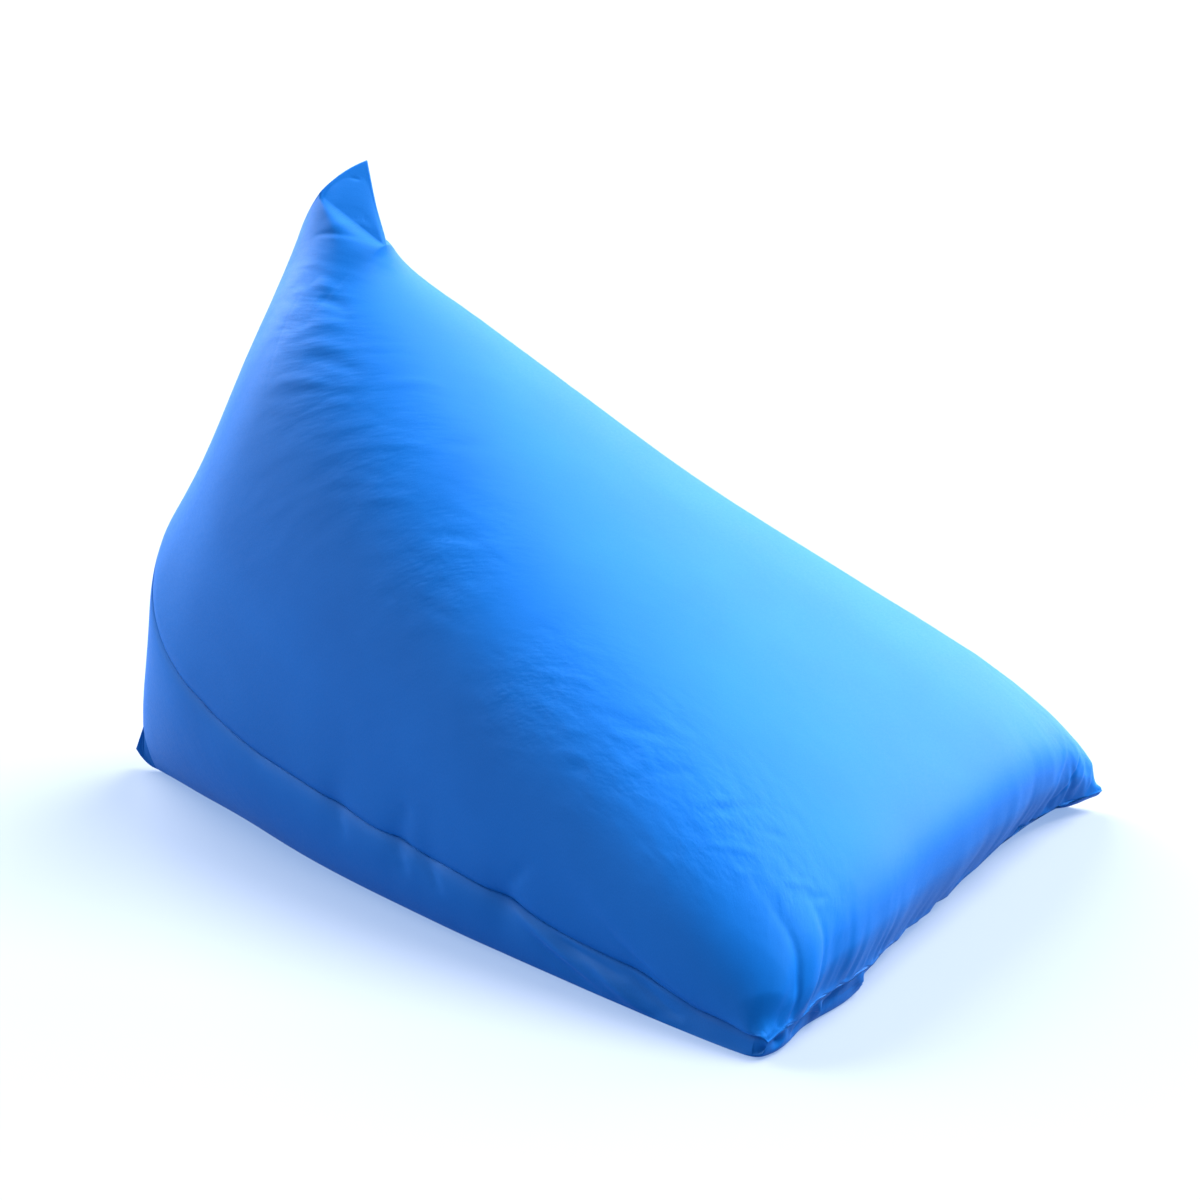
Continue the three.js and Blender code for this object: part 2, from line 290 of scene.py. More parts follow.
def panel_points(panel, v, u, inner=False):
    """Points in mm of the upper or lower panel at v along the pouf and u across it, 0 and 1 on the
    side seams. With inner set they lie on the hidden face between the two panels."""
    v, u = np.broadcast_arrays(v, u)
    section = section_at(v)
    upper = panel == "upper"
    across = -np.cos(np.pi * u)
    rise = np.maximum(0, np.sin(np.pi * u))
    square = section["upper_square"] if upper or inner else section["lower_square"]
    end_y = section["crest_y"] if upper else section["keel_y"]
    end_z = section["crest_z"] if upper else section["keel_z"]
    width = section["half_width"]
    x = width * np.sign(across) * np.abs(across) ** (2 / square)
    share = np.zeros_like(x)
    if not inner:
        thin = front_ear_factor(width - np.abs(x), section["seam_y"] - SECTIONS[0][0])
        share = rise ** (2 / section["upper_round" if upper else "lower_round"])
        share *= thin if upper else np.where(x > 0, thin, 1)
        x = x + (section["belly"] * 2 * rise * across if upper else 0)
    run_y = end_y - section["seam_y"]
    run_z = end_z - section["seam_z"]
    run = np.hypot(run_y, run_z)
    bow = section["upper_bow"] if upper else -section["lower_bow"]
    bowed = BOW_SHAPE * share**3 * (1 - share) * bow / np.maximum(1, run)
    y = section["seam_y"] + run_y * share + bowed * run_z
    z = section["seam_z"] + run_z * share - bowed * run_y

    groove = np.minimum(np.abs(x) * GROOVE_SHARE, GROOVE_DEPTH)
    near_seam = np.exp(-rise * run / PINCH_REACH)
    x = x - np.sign(across) * seam_pinch(v, across, "inward") * near_seam
    z = z + seam_pinch(v, across, "up") * near_seam
    if inner:
        x = np.where(v >= 1, 0, x - np.sign(x) * groove)
        dip = smoothstep((v - INNER_DIP["start"]) / INNER_DIP["growing"])
        y = y - INNER_DIP["depth"] * width * rise * dip
    else:
        x = x - np.sign(x) * groove * np.exp(-rise * run / GROOVE_REACH)
        behind = behind_crease(APEX_EAR, y, z)
        behind_floor_ear = behind_crease(FLOOR_EAR, y, z)
        limit = np.minimum(ear_limit(APEX_EAR, behind), ear_limit(FLOOR_EAR, behind_floor_ear))
        least = np.where(np.abs(across) < 1e-9, 0, EAR_EDGE)
        x = np.where(v >= 1, 0, np.sign(x) * np.maximum(least, soft_lesser(np.abs(x), limit)))
        lean = np.where(z > APEX_LEAN["lowest"], np.maximum(0, -behind), 0) / APEX_LEAN["length"]
        x = x + APEX_LEAN["x"] * lean
        y = y + APEX_LEAN["y"] * lean
        z = z + APEX_LEAN["z"] * lean

    near_front = np.clip(1 - (y - SECTIONS[0][0]) / FRONT_REACH, 0, 1)
    above = np.maximum(0, z - section["seam_z"]) if upper else np.zeros_like(z)
    wave = front_wave(x) * np.exp(-np.abs(z - SECTIONS[0][1]) / WAVE_REACH)
    wave *= np.exp(-(y - SECTIONS[0][0]).clip(0) / WAVE_REACH)
    fade = near_front**FRONT_FADE * np.exp(-above / FRONT_RISE)
    front = front_seam_at(x)
    if upper and not inner:
        y = y - front_folds(x, above, FRONT_FOLDS)
    if not upper and not inner:
        drop = np.clip((section["seam_z"] - z) / section["seam_z"], 0, 1)
        y = y + front["tuck"] * fade * drop
    gap_y = section["crest_y"] - section["keel_y"]
    gap_z = section["crest_z"] - section["keel_z"]
    length = np.hypot(gap_y, gap_z)
    away = (PANEL_GAP if upper else -PANEL_GAP) / 2
    x = x + front["aside"] * fade
    y = y + front["back"] * fade + away * gap_y / np.maximum(length, 1)
    z = z + wave + front["lift"] * fade + away * np.where(length > 1, gap_z / np.maximum(length, 1), 1)
    return np.stack([x, y, on_floor(z)], -1)


# The cloth as a fine grid of points, closer together at the seams and at both ends.
PANEL_ROWS = 400
UPPER_ACROSS = 400
LOWER_ACROSS = 200
ROW_CROWDING = 0.06
SEAM_CROWDING = 0.08
MILLIMETRE = 0.001


def crowded(count, crowding):
    """Steps from 0 to 1 that are closer together at both ends."""
    t = np.linspace(0, 1, count + 1)
    return t - crowding * np.sin(2 * np.pi * t)


def panel_grid(panel, across_count):
    v = crowded(PANEL_ROWS, ROW_CROWDING)[:, None]
    u = crowded(across_count, SEAM_CROWDING)[None, :]
    return panel_points(panel, v, u)


def outward(points, panel):
    """Unit normals of a grid of points, away from the filling."""
    normals = np.cross(np.gradient(points, axis=1), np.gradient(points, axis=0))
    if panel == "lower":
        normals = -normals
    return normals / np.maximum(np.linalg.norm(normals, axis=2, keepdims=True), 1e-9)


def flat_places(points):
    """Where each grid point lies on the cloth as it was cut: across and along, in metres."""
    steps = np.linalg.norm(np.diff(points, axis=1), axis=2)
    across = np.concatenate([np.zeros((points.shape[0], 1)), np.cumsum(steps, axis=1)], axis=1)
    across = across - across[:, across.shape[1] // 2, None]
    middle = points[:, points.shape[1] // 2]
    way = np.concatenate([[0], np.cumsum(np.linalg.norm(np.diff(middle, axis=0), axis=1))])
    along = np.broadcast_to(way[:, None], across.shape)
    return np.stack([across, along], -1) * MILLIMETRE


def from_edges(points):
    """Distance in mm from each grid point to the nearest edge of its panel."""
    steps = np.linalg.norm(np.diff(points, axis=1), axis=2)
    left = np.concatenate([np.zeros((points.shape[0], 1)), np.cumsum(steps, axis=1)], axis=1)
    steps = np.linalg.norm(np.diff(points, axis=0), axis=2)
    front = np.concatenate([np.zeros((1, points.shape[1])), np.cumsum(steps, axis=0)], axis=0)
    nearest = np.minimum(left, left[:, -1:] - left)
    return np.minimum(nearest, np.minimum(front, front[-1:] - front))


# Creases and small folds, laid one by one on the cloth: their two ends, how far their middle is bent
# to the side, half their width and their height in mm, and how sharp they are, from 0 to 1.
CREASE_COLUMNS = ("v1", "u1", "v2", "u2", "bend", "half_width", "height", "sharp")
UPPER_CREASES = (
    # the arc under the apex ear and the one tuck in the ear
    (0.915, 0.310, 0.835, 0.425, 4, 4, -1.0, 0.3),
    (0.925, 0.330, 0.845, 0.440, 4, 7, 0.8, 0),
    (0.984, 0.390, 0.968, 0.430, 0, 2, -0.9, 0.5),
    # the one straight crease, and the dents below the apex
    (0.800, 0.322, 0.640, 0.218, 0, 2, -0.4, 1),
    (0.792, 0.338, 0.712, 0.378, 3, 8, 1.2, 0),
    (0.742, 0.346, 0.660, 0.386, 3, 8, -1.3, 0),
    (0.705, 0.325, 0.645, 0.372, 3, 8, 1.0, 0),
    (0.680, 0.305, 0.615, 0.358, 3, 8, 1.1, 0),
    (0.660, 0.302, 0.584, 0.352, 4, 9, -1.2, 0),
    (0.676, 0.258, 0.598, 0.315, 4, 8, 1.2, 0),
    (0.570, 0.350, 0.532, 0.420, 2, 6, 0.8, 0),
    (0.567, 0.256, 0.500, 0.360, 5, 6, 0.8, 0),
    (0.508, 0.344, 0.478, 0.410, 2, 5, -0.8, 0),
    (0.533, 0.240, 0.490, 0.295, 3, 6, 0.8, 0),
    (0.476, 0.272, 0.448, 0.310, 1, 5, -0.7, 0),
    # the ripples over the shoulder
    (0.386, 0.240, 0.358, 0.281, 2, 4, 0.8, 0.1),
    (0.385, 0.230, 0.366, 0.270, 2, 4, -0.7, 0.1),
    (0.366, 0.208, 0.345, 0.234, 1, 4, 0.7, 0),
    (0.340, 0.255, 0.308, 0.297, 2, 4, -0.7, 0.1),
    (0.355, 0.250, 0.337, 0.270, 1, 3, -0.6, 0.1),
    (0.364, 0.180, 0.341, 0.213, 2, 4, 0.7, 0),
    (0.353, 0.174, 0.338, 0.202, 1, 4, -0.8, 0),
    (0.317, 0.225, 0.284, 0.294, 3, 5, -0.8, 0.1),
    (0.280, 0.249, 0.259, 0.301, 2, 4, 0.8, 0.1),
    (0.276, 0.247, 0.244, 0.317, 3, 4, -0.9, 0.1),
    (0.269, 0.216, 0.226, 0.270, 3, 4, 0.8, 0.1),
    (0.239, 0.286, 0.222, 0.308, 1, 4, -0.7, 0),
    (0.242, 0.219, 0.226, 0.240, 1, 5, 0.7, 0),
    (0.207, 0.257, 0.180, 0.291, 2, 5, 0.8, 0),
    (0.180, 0.270, 0.163, 0.299, 1, 5, -0.7, 0),
    # puckers that run out from the two front corners and from the pinches in the side seams
    (0.020, 0.110, 0.080, 0.150, 3, 5, -1.0, 0.2),
    (0.018, 0.150, 0.090, 0.230, 4, 5, -1.2, 0.2),
    (0.030, 0.080, 0.130, 0.105, 3, 7, 1.2, 0),
    (0.060, 0.050, 0.150, 0.090, 3, 6, -1.2, 0),
    (0.373, 0.004, 0.360, 0.060, 2, 5, -1.8, 0.3),
    (0.444, 0.004, 0.440, 0.040, 1, 4, -1.2, 0.3),
    (0.020, 0.745, 0.150, 0.772, -2, 4, -2.2, 0.7),
    (0.030, 0.790, 0.170, 0.800, 3, 6, 1.4, 0),
    (0.020, 0.860, 0.120, 0.850, -3, 5, -1.4, 0.2),
    (0.030, 0.700, 0.180, 0.720, 4, 7, 1.6, 0),
    (0.405, 0.996, 0.385, 0.930, 2, 6, -1.8, 0.3),
    (0.260, 0.996, 0.250, 0.940, 2, 6, -1.6, 0.3),
)
CREASE_STEPS = 40

# How fast a fully sharp crease falls off from its line.
SHARPNESS = 1.7

# Within this many mm of a seam, creases and ripples fade out, so that the seam stays closed.
EDGE_FADE = 9


def crease_relief(points, normals, panel, creases):
    """Height in mm that a table of creases gives to a grid of points."""
    relief = np.zeros(points.shape[:2])
    t = np.linspace(0, 1, CREASE_STEPS)
    for row in creases:
        crease = dict(zip(CREASE_COLUMNS, row))
        v = crease["v1"] + (crease["v2"] - crease["v1"]) * t
        u = crease["u1"] + (crease["u2"] - crease["u1"]) * t
        path = panel_points(panel, v, u)
        reach = 3 * crease["half_width"] + abs(crease["bend"])
        near = np.all((points > path.min(0) - reach) & (points < path.max(0) + reach), axis=2)
        offsets = points[near][:, None, :] - path[None]
        nearest = np.argmin(np.einsum("ijk,ijk->ij", offsets, offsets), axis=1)
        tangents = np.gradient(path, axis=0)
        spacing = np.maximum(np.linalg.norm(tangents, axis=1, keepdims=True), 1e-6)
        tangent = (tangents / spacing)[nearest]
        offset = offsets[np.arange(len(nearest)), nearest]
        ahead = np.sum(offset * tangent, axis=1)
        place = np.clip((nearest + ahead / spacing[nearest, 0]) / (CREASE_STEPS - 1), 0, 1)
        sideways = np.sum(offset * np.cross(normals[near], tangent), axis=1)
        sideways = sideways - crease["bend"] * 4 * place * (1 - place)
        past = np.abs(ahead) > 2 * spacing[nearest, 0]
        distance = np.abs(sideways) / crease["half_width"]
        soft = np.exp(-distance * distance)
        pointed = np.exp(-SHARPNESS * distance)
        profile = soft + (pointed - soft) * crease["sharp"]
        ends = np.sin(np.pi * place)
        relief[near] += np.where(past, 0, crease["height"] * profile * ends)
    return relief


# Fine puckers along the front seam, where the stitches gather the cloth: one every two centimetres
# or so, of uneven length and depth, and longer and deeper towards both corners. They stand between
# these ends of the seam, in mm from its middle, and fan out by this lean at the corners.
PUCKERED_HALF = 430
PUCKERED_SHARE = 0.97
PUCKER_LEAN = 0.45
PUCKER_DEEPENING = 0.8
UPPER_PUCKERS = {"seed": 11, "count": 50, "height": 2.2, "reach": 26}


def pucker_rows(seed, count, height, reach):
    """A table of folds like the broad ones, drawn with a fixed seed."""
    dice = np.random.default_rng(seed)
    rows = []
    for place in np.linspace(-PUCKERED_SHARE, PUCKERED_SHARE, count):
        x = PUCKERED_HALF * (place + dice.uniform(-0.4, 0.4) * 2 / count)
        corner = abs(place) ** 3
        rows.append((
            x,
            -PUCKER_LEAN * place + dice.uniform(-0.1, 0.1),
            reach * (1 + corner) * dice.uniform(0.6, 1.5),
            dice.uniform(4, 8),
            height * (1 + PUCKER_DEEPENING * corner) * dice.uniform(-1.3, 0.7),
        ))
    return rows


def pucker_relief(points, rows):
    """How far a table of puckers that start on the front seam lifts each grid point, in mm."""
    seam_z = points[0, :, 2]
    height = np.abs(points[..., 2] - seam_z)
    push = front_folds(points[..., 0], height, rows)
    front = np.clip(1 - (points[..., 1] - points[0, :, 1]) / FRONT_REACH, 0, 1)
    return push * front


# Ripples: where the filling presses least, the stretch cloth lies in small uneven waves. They run
# in arcs round a place just outside the side seam, in metres across and along the cloth, and are
# mirrored on the far side. The table gives where they are strongest and their reach in mm.
RIPPLE_CENTRE = (0.66, 0.40)
RIPPLE_ARC = 0.4
RIPPLE_COLUMNS = ("v", "u", "reach", "share")
RIPPLE_PLACES = (
    (0.80, 0.33, 55, 0.7),
    (0.70, 0.33, 70, 1.0),
    (0.61, 0.31, 90, 1.0),
    (0.53, 0.30, 100, 0.9),
    (0.46, 0.27, 100, 0.9),
    (0.38, 0.24, 90, 1.0),
    (0.32, 0.25, 90, 0.9),
    (0.26, 0.26, 90, 1.0),
    (0.19, 0.28, 80, 0.8),
    (0.10, 0.40, 90, 0.35),
    (0.10, 0.60, 90, 0.35),
    (0.60, 0.15, 110, 0.35),
    (0.45, 0.12, 120, 0.35),
)
RIPPLE_BACKGROUND = 0.14


def ripple_share(points, panel, places, background):
    """How strongly the cloth ripples at each grid point, on both sides alike."""
    share = np.full(points.shape[:2], background)
    for row in places:
        spot = dict(zip(RIPPLE_COLUMNS, row))
        for u in (spot["u"], 1 - spot["u"]):
            middle = panel_points(panel, np.array([spot["v"]]), np.array([u]))[0]
            distance = np.linalg.norm(points - middle, axis=2) / spot["reach"]
            share = np.maximum(share, spot["share"] * np.exp(-distance * distance))
    return share


def ripple_places(flat):
    """For each grid point its radius and its way round the centre of the ripples, in metres."""
    aside = RIPPLE_CENTRE[0] - np.abs(flat[..., 0])
    along = flat[..., 1] - RIPPLE_CENTRE[1]
    radius = np.hypot(aside, along)
    angle = np.arctan2(along, aside)
    return np.stack([radius, angle * RIPPLE_ARC, np.sign(flat[..., 0])], -1)


# Steps across the hidden face: many beside the front seam, in this part of the rows, and few
# further back.
INNER_ACROSS = 8
INNER_FRONT_ACROSS = 80
INNER_FRONT_SHARE = 0.25


def strip_faces(row_a, row_b, turned):
    """Faces between two rows of vertex numbers that may differ in count."""
    faces = []
    i = j = 0
    while i < len(row_a) - 1 or j < len(row_b) - 1:
        next_a = (i + 1) / (len(row_a) - 1)
        next_b = (j + 1) / (len(row_b) - 1)
        step_a = j == len(row_b) - 1 or (i < len(row_a) - 1 and next_a <= next_b)
        if step_a:
            corners = (row_a[i], row_a[i + 1], row_b[j])
            i += 1
        else:
            corners = (row_a[i], row_b[j + 1], row_b[j])
            j += 1
        faces.append(corners[::-1] if turned else corners)
    return faces


def panel_mesh(name, panel, points, masks, centre):
    """A closed mesh from a grid of points in mm: the cloth, and the hidden face behind it."""
    rows, across = points.shape[0] - 1, points.shape[1] - 1
    numbers = np.arange((rows + 1) * (across + 1)).reshape(rows + 1, across + 1)
    quads = np.stack([numbers[:-1, :-1], numbers[:-1, 1:], numbers[1:, 1:], numbers[1:, :-1]], -1)
    if panel == "lower":
        quads = quads[:, :, ::-1]
    faces = [tuple(quad) for quad in quads.reshape(-1, 4).tolist()]
    coordinates = [points.reshape(-1, 3)]
    count = numbers.size
    behind = [numbers[0].tolist()]
    v = crowded(rows, ROW_CROWDING)
    for i in range(1, rows + 1):
        width = INNER_FRONT_ACROSS if i < rows * INNER_FRONT_SHARE else INNER_ACROSS
        u = np.linspace(0, 1, width + 1)[1:-1]
        coordinates.append(panel_points(panel, v[i : i + 1], u, inner=True))
        behind.append([int(numbers[i, 0]), *range(count, count + len(u)), int(numbers[i, across])])
        count += len(u)
    for i in range(rows):
        faces += strip_faces(behind[i], behind[i + 1], panel == "upper")
    mesh = bpy.data.meshes.new(name)
    mesh.from_pydata((np.concatenate(coordinates) * MILLIMETRE + centre).tolist(), [], faces)
    for mask, values in masks.items():
        kind = "FLOAT_VECTOR" if values.ndim == 3 else "FLOAT"
        layer = mesh.attributes.new(mask, kind, "POINT")
        filled = np.zeros((count, *values.shape[2:]), np.float32)
        filled[: numbers.size] = values.reshape(numbers.size, *values.shape[2:])
        layer.data.foreach_set("vector" if values.ndim == 3 else "value", filled.ravel())
    mesh.shade_smooth()
    return mesh


# The two sizes of ripples: how many there are to a metre across the arcs and along them, and how
# far apart the patterns of the two sides of the pouf lie.
RIPPLE_SIZES = {"Broad Height": (55, 24, 7), "Fine Height": (120, 48, 7)}
RIPPLE_DISTORTION = 0.6


def ripple_tree():
    """Geometry nodes that lift the cloth in two sizes of ripples along its normals."""
    tree = bpy.data.node_groups.new("cloth_ripples", "GeometryNodeTree")
    inputs = {
        "Cloth": "NodeSocketGeometry",
        "Broad Height": "NodeSocketFloat",
        "Fine Height": "NodeSocketFloat",
        "Seed": "NodeSocketFloat",
        "Material": "NodeSocketMaterial",
    }
    for name, kind in inputs.items():
        tree.interface.new_socket(name, in_out="INPUT", socket_type=kind)
    tree.interface.new_socket("Cloth", in_out="OUTPUT", socket_type="NodeSocketGeometry")
    nodes, links = tree.nodes, tree.links
    given = nodes.new("NodeGroupInput")
    place = nodes.new("GeometryNodeInputNamedAttribute")
    place.data_type = "FLOAT_VECTOR"
    place.inputs["Name"].default_value = "ripple_place"
    share = nodes.new("GeometryNodeInputNamedAttribute")
    share.data_type = "FLOAT"
    share.inputs["Name"].default_value = "ripple_share"
    heights = []
    for name, per_metre in RIPPLE_SIZES.items():
        stretched = nodes.new("ShaderNodeVectorMath")
        stretched.operation = "MULTIPLY"
        stretched.inputs[1].default_value = per_metre
        links.new(place.outputs["Attribute"], stretched.inputs[0])
        noise = nodes.new("ShaderNodeTexNoise")
        noise.noise_dimensions = "4D"
        noise.inputs["Scale"].default_value = 1.0
        noise.inputs["Detail"].default_value = 1.0
        noise.inputs["Distortion"].default_value = RIPPLE_DISTORTION
        links.new(stretched.outputs["Vector"], noise.inputs["Vector"])
        links.new(given.outputs["Seed"], noise.inputs["W"])
        centred = nodes.new("ShaderNodeMath")
        centred.operation = "SUBTRACT"
        centred.inputs[1].default_value = 0.5
        links.new(noise.outputs["Fac"], centred.inputs[0])
        height = nodes.new("ShaderNodeMath")
        height.operation = "MULTIPLY"
        links.new(centred.outputs["Value"], height.inputs[0])
        links.new(given.outputs[name], height.inputs[1])
        heights.append(height)
    total = nodes.new("ShaderNodeMath")
    links.new(heights[0].outputs["Value"], total.inputs[0])
    links.new(heights[1].outputs["Value"], total.inputs[1])
    masked = nodes.new("ShaderNodeMath")
    masked.operation = "MULTIPLY"
    links.new(total.outputs["Value"], masked.inputs[0])
    links.new(share.outputs["Attribute"], masked.inputs[1])
    normal = nodes.new("GeometryNodeInputNormal")
    offset = nodes.new("ShaderNodeVectorMath")
    offset.operation = "SCALE"
    links.new(normal.outputs["Normal"], offset.inputs[0])
    links.new(masked.outputs["Value"], offset.inputs["Scale"])
    move = nodes.new("GeometryNodeSetPosition")
    links.new(given.outputs["Cloth"], move.inputs["Geometry"])
    links.new(offset.outputs["Vector"], move.inputs["Offset"])
    realize = nodes.new("GeometryNodeRealizeInstances")
    links.new(move.outputs["Geometry"], realize.inputs["Geometry"])
    finish = nodes.new("GeometryNodeSetMaterial")
    links.new(realize.outputs["Geometry"], finish.inputs["Geometry"])
    links.new(given.outputs["Material"], finish.inputs["Material"])
    result = nodes.new("NodeGroupOutput")
    links.new(finish.outputs["Geometry"], result.inputs["Cloth"])
    return tree


# The dye from its deepest to its palest, and how rough the satin face is.
DYE_DEEP = (0.001, 0.082, 0.34, 1)
DYE_PALE = (0.003, 0.104, 0.41, 1)
SATIN_ROUGHNESS = (0.5, 0.66)

# Grain of the cloth, in specks to a metre: clouds in the dye, threads in its tone, threads in its
# gloss and threads in relief. Threads run askew by this angle and are this much finer along.
CLOUD_GRAIN = 9
TONE_GRAIN = 420
GLOSS_GRAIN = 160
THREAD_GRAIN = 520
THREAD_ANGLE = 0.6
THREAD_STRETCH = 2.2
GLOSS_STRETCH = 2.0

# The finest ripples, too small for the mesh: how many to a metre, and heights in metres.
WRINKLES_PER_METRE = (190, 80, 5)
WRINKLE_HEIGHT = 0.0004
THREAD_HEIGHT = 0.00025


def dyed_cloth():
    """Satin stretch cloth, dyed blue: a fine grain, a little uneven in tone and in gloss."""
    material = bpy.data.materials.new("blue_stretch_cloth")
    material.use_nodes = True
    nodes, links = material.node_tree.nodes, material.node_tree.links
    shader = nodes["Principled BSDF"]
    flat = nodes.new("ShaderNodeAttribute")
    flat.attribute_name = "flat_place"

    def grain(scale, detail, turn=0.0, stretch=1.0):
        mapping = nodes.new("ShaderNodeMapping")
        mapping.inputs["Rotation"].default_value = (0, 0, turn)
        mapping.inputs["Scale"].default_value = (scale, scale * stretch, scale)
        links.new(flat.outputs["Vector"], mapping.inputs["Vector"])
        noise = nodes.new("ShaderNodeTexNoise")
        noise.inputs["Scale"].default_value = 1.0
        noise.inputs["Detail"].default_value = detail
        links.new(mapping.outputs["Vector"], noise.inputs["Vector"])
        return noise.outputs["Fac"]

    tone = nodes.new("ShaderNodeValToRGB")
    tone.color_ramp.elements[0].position = 0.3
    tone.color_ramp.elements[0].color = DYE_DEEP
    tone.color_ramp.elements[1].position = 0.7
    tone.color_ramp.elements[1].color = DYE_PALE
    mixed = nodes.new("ShaderNodeMix")
    mixed.inputs["Factor"].default_value = 0.6
    links.new(grain(CLOUD_GRAIN, 3), mixed.inputs["A"])
    links.new(grain(TONE_GRAIN, 2, THREAD_ANGLE, THREAD_STRETCH), mixed.inputs["B"])
    links.new(mixed.outputs["Result"], tone.inputs["Fac"])
    links.new(tone.outputs["Color"], shader.inputs["Base Color"])

    rough = nodes.new("ShaderNodeMapRange")
    rough.inputs["To Min"].default_value = SATIN_ROUGHNESS[0]
    rough.inputs["To Max"].default_value = SATIN_ROUGHNESS[1]
    links.new(grain(GLOSS_GRAIN, 2, THREAD_ANGLE, GLOSS_STRETCH), rough.inputs["Value"])
    links.new(rough.outputs["Result"], shader.inputs["Roughness"])
    shader.inputs["Specular IOR Level"].default_value = 0.12
    shader.inputs["Specular Tint"].default_value = (0.3, 0.75, 1, 1)

    wave = nodes.new("ShaderNodeBump")
    wave.inputs["Strength"].default_value = 1.0
    wave.inputs["Distance"].default_value = WRINKLE_HEIGHT
    share = nodes.new("ShaderNodeAttribute")
    share.attribute_name = "ripple_share"
    place = nodes.new("ShaderNodeAttribute")
    place.attribute_name = "ripple_place"
    stretched = nodes.new("ShaderNodeMapping")
    stretched.inputs["Scale"].default_value = WRINKLES_PER_METRE
    links.new(place.outputs["Vector"], stretched.inputs["Vector"])
    noise = nodes.new("ShaderNodeTexNoise")
    noise.inputs["Scale"].default_value = 1.0
    noise.inputs["Detail"].default_value = 1.5
    links.new(stretched.outputs["Vector"], noise.inputs["Vector"])
    lifted = nodes.new("ShaderNodeMath")
    lifted.operation = "MULTIPLY"
    links.new(noise.outputs["Fac"], lifted.inputs[0])
    links.new(share.outputs["Fac"], lifted.inputs[1])
    links.new(lifted.outputs["Value"], wave.inputs["Height"])
    threads = nodes.new("ShaderNodeBump")
    threads.inputs["Strength"].default_value = 0.5
    threads.inputs["Distance"].default_value = THREAD_HEIGHT
    links.new(grain(THREAD_GRAIN, 2, THREAD_ANGLE, THREAD_STRETCH), threads.inputs["Height"])
    links.new(wave.outputs["Normal"], threads.inputs["Normal"])
    links.new(threads.outputs["Normal"], shader.inputs["Normal"])
    return material


def finish_piece(name, node, mesh, tree, ripples, material):
    draft = bpy.data.objects.new(name + "_draft", mesh)
    bpy.context.scene.collection.objects.link(draft)
    modifier = draft.modifiers.new("ripples", "NODES")
    modifier.node_group = tree
    values = {**ripples, "Material": material}
    for item in tree.interface.items_tree:
        if item.in_out == "INPUT" and item.name in values:
            modifier[item.identifier] = values[item.name]
    evaluated = draft.evaluated_get(bpy.context.evaluated_depsgraph_get())
    plain = bpy.data.meshes.new_from_object(evaluated)
    plain.name = name
    bpy.data.objects.remove(draft)
    piece = bpy.data.objects.new(name, plain)
    bpy.context.scene.collection.objects.link(piece)
    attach(piece, "root")
    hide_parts(node)


# The bag is placed as the frame has it: in the middle of its footprint.
upper_points = panel_grid("upper", UPPER_ACROSS)
lower_points = panel_grid("lower", LOWER_ACROSS)
low = np.minimum(upper_points.min((0, 1)), lower_points.min((0, 1)))
high = np.maximum(upper_points.max((0, 1)), lower_points.max((0, 1)))
PART_CENTRE = np.array([cad_low.x + cad_high.x, cad_low.y + cad_high.y, 0]) / 2
CENTRE = PART_CENTRE - (low + high) * np.array([1, 1, 0]) * MILLIMETRE / 2

# Heights of the two sizes of ripples, in metres, and the seed of their pattern.
UPPER_RIPPLES = {"Broad Height": 0.0023, "Fine Height": 0.0011, "Seed": 3.0}

blue_cloth = dyed_cloth()
cloth_ripples = ripple_tree()


def panel_masks(points, share):
    """What the ripples and the cloth's material read at each grid point."""
    flat = flat_places(points)
    return {
        "flat_place": np.concatenate([flat, np.zeros((*points.shape[:2], 1))], -1),
        "ripple_place": ripple_places(flat),
        "ripple_share": share,
    }


upper_normals = outward(upper_points, "upper")
upper_edge = smoothstep(from_edges(upper_points) / EDGE_FADE)
upper_relief = crease_relief(upper_points, upper_normals, "upper", UPPER_CREASES)
upper_relief += pucker_relief(upper_points, pucker_rows(**UPPER_PUCKERS))
upper_share = ripple_share(upper_points, "upper", RIPPLE_PLACES, RIPPLE_BACKGROUND) * upper_edge
upper_masks = panel_masks(upper_points, upper_share)
upper_points = upper_points + upper_normals * (upper_relief * upper_edge)[..., None]
upper_mesh = panel_mesh("upper_cloth", "upper", upper_points, upper_masks, CENTRE)
finish_piece("upper_cloth", "upper_panel", upper_mesh, cloth_ripples, UPPER_RIPPLES, blue_cloth)


# Lower panel: the second piece of the same cloth. It is pressed flat on the floor, comes up at
# both sides to the side seams and at the back to the closing seam, and ends in the ear on the floor.

